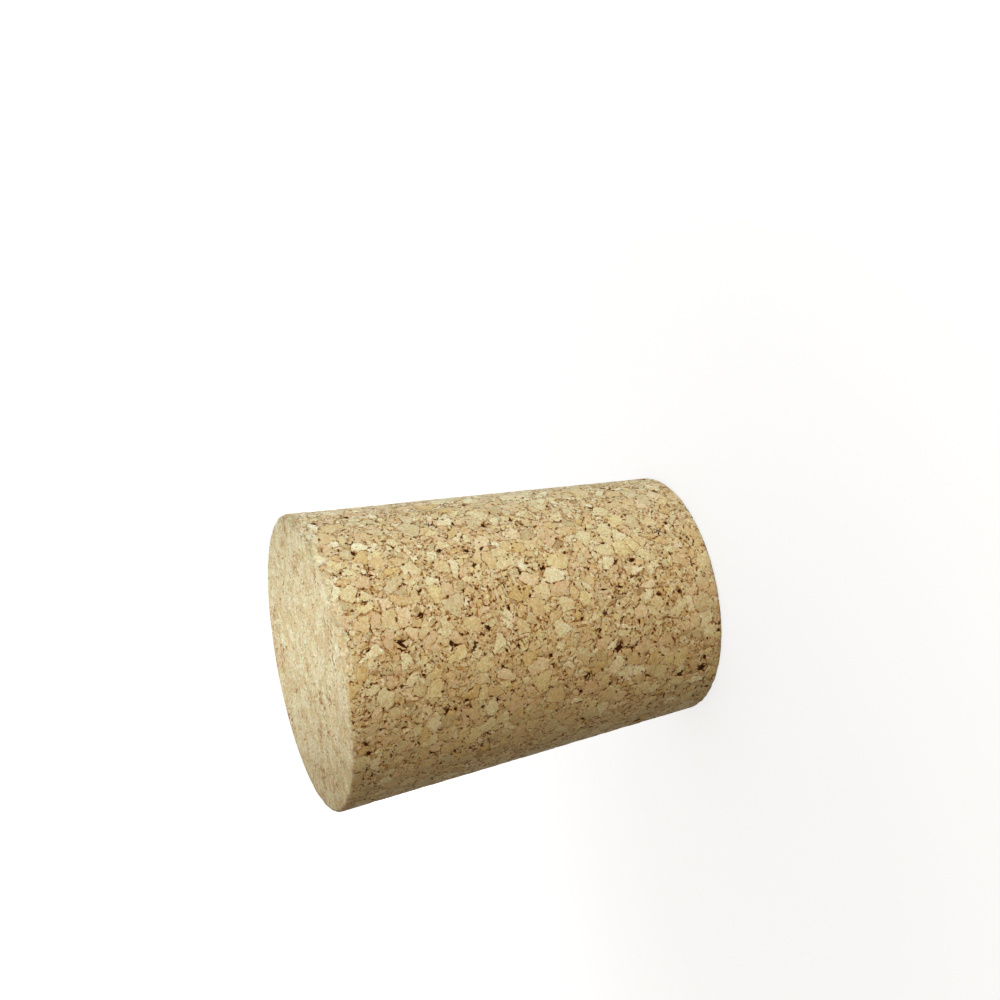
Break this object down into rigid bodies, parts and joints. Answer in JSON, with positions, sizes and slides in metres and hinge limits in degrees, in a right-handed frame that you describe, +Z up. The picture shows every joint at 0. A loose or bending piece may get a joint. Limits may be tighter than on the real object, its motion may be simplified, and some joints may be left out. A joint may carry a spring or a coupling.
{
  "type": "cork stopper",
  "caption": "Tapered cork stopper of bonded cork granules, with a wide flat head, a narrower flat foot, lightly rounded rims and small open pores.",
  "frame": {"origin": "centre of the foot, the small end face that the stopper stands on", "axes": "+Z up the axis from the foot to the head, the large end; X and Y lie in the foot and are interchangeable"},
  "size_m": [0.024, 0.024, 0.032],
  "materials": {
    "cork": "bonded cork granules, ground and sanded, matt"
  },
  "bodies": {
    "root": {"stopper": "cork"}
  },
  "joints": []
}
